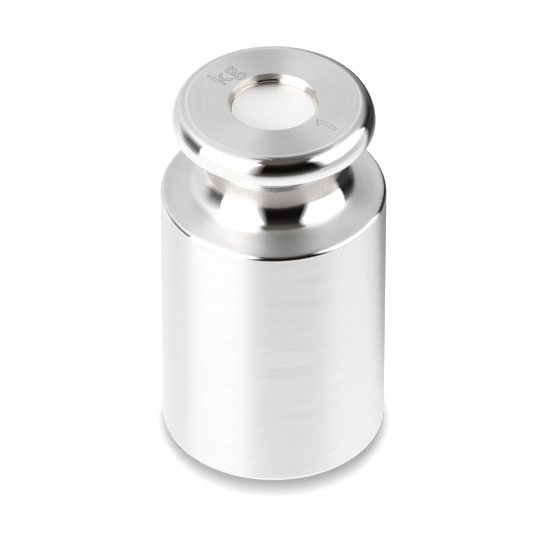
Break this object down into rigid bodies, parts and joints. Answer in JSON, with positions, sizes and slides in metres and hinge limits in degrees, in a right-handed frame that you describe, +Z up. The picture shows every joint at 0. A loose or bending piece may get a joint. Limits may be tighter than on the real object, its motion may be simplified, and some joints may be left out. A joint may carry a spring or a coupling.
{
  "type": "calibration weight",
  "caption": "Cylindrical stainless calibration weight with a waisted neck, a flat-topped lifting knob and a sealed adjusting cavity.",
  "frame": {"origin": "middle of the flat face that the weight stands on", "axes": "+Z up the turning axis, from the foot to the knob's flat top; +X to the right and -Y to the front, where the engraved numeral stands to the right of the bore"},
  "size_m": [0.048, 0.048, 0.0847],
  "materials": {
    "stainless_steel": "fine turned faces, polished groove and edges",
    "soft_aluminium": "pale satin",
    "plug_steel": "turned",
    "shot_steel": "bright ground balls"
  },
  "bodies": {
    "root": {"body": "stainless_steel", "sealing_cap": "soft_aluminium", "closing_plug": "plug_steel", "adjusting_shot": "shot_steel"}
  },
  "joints": []
}
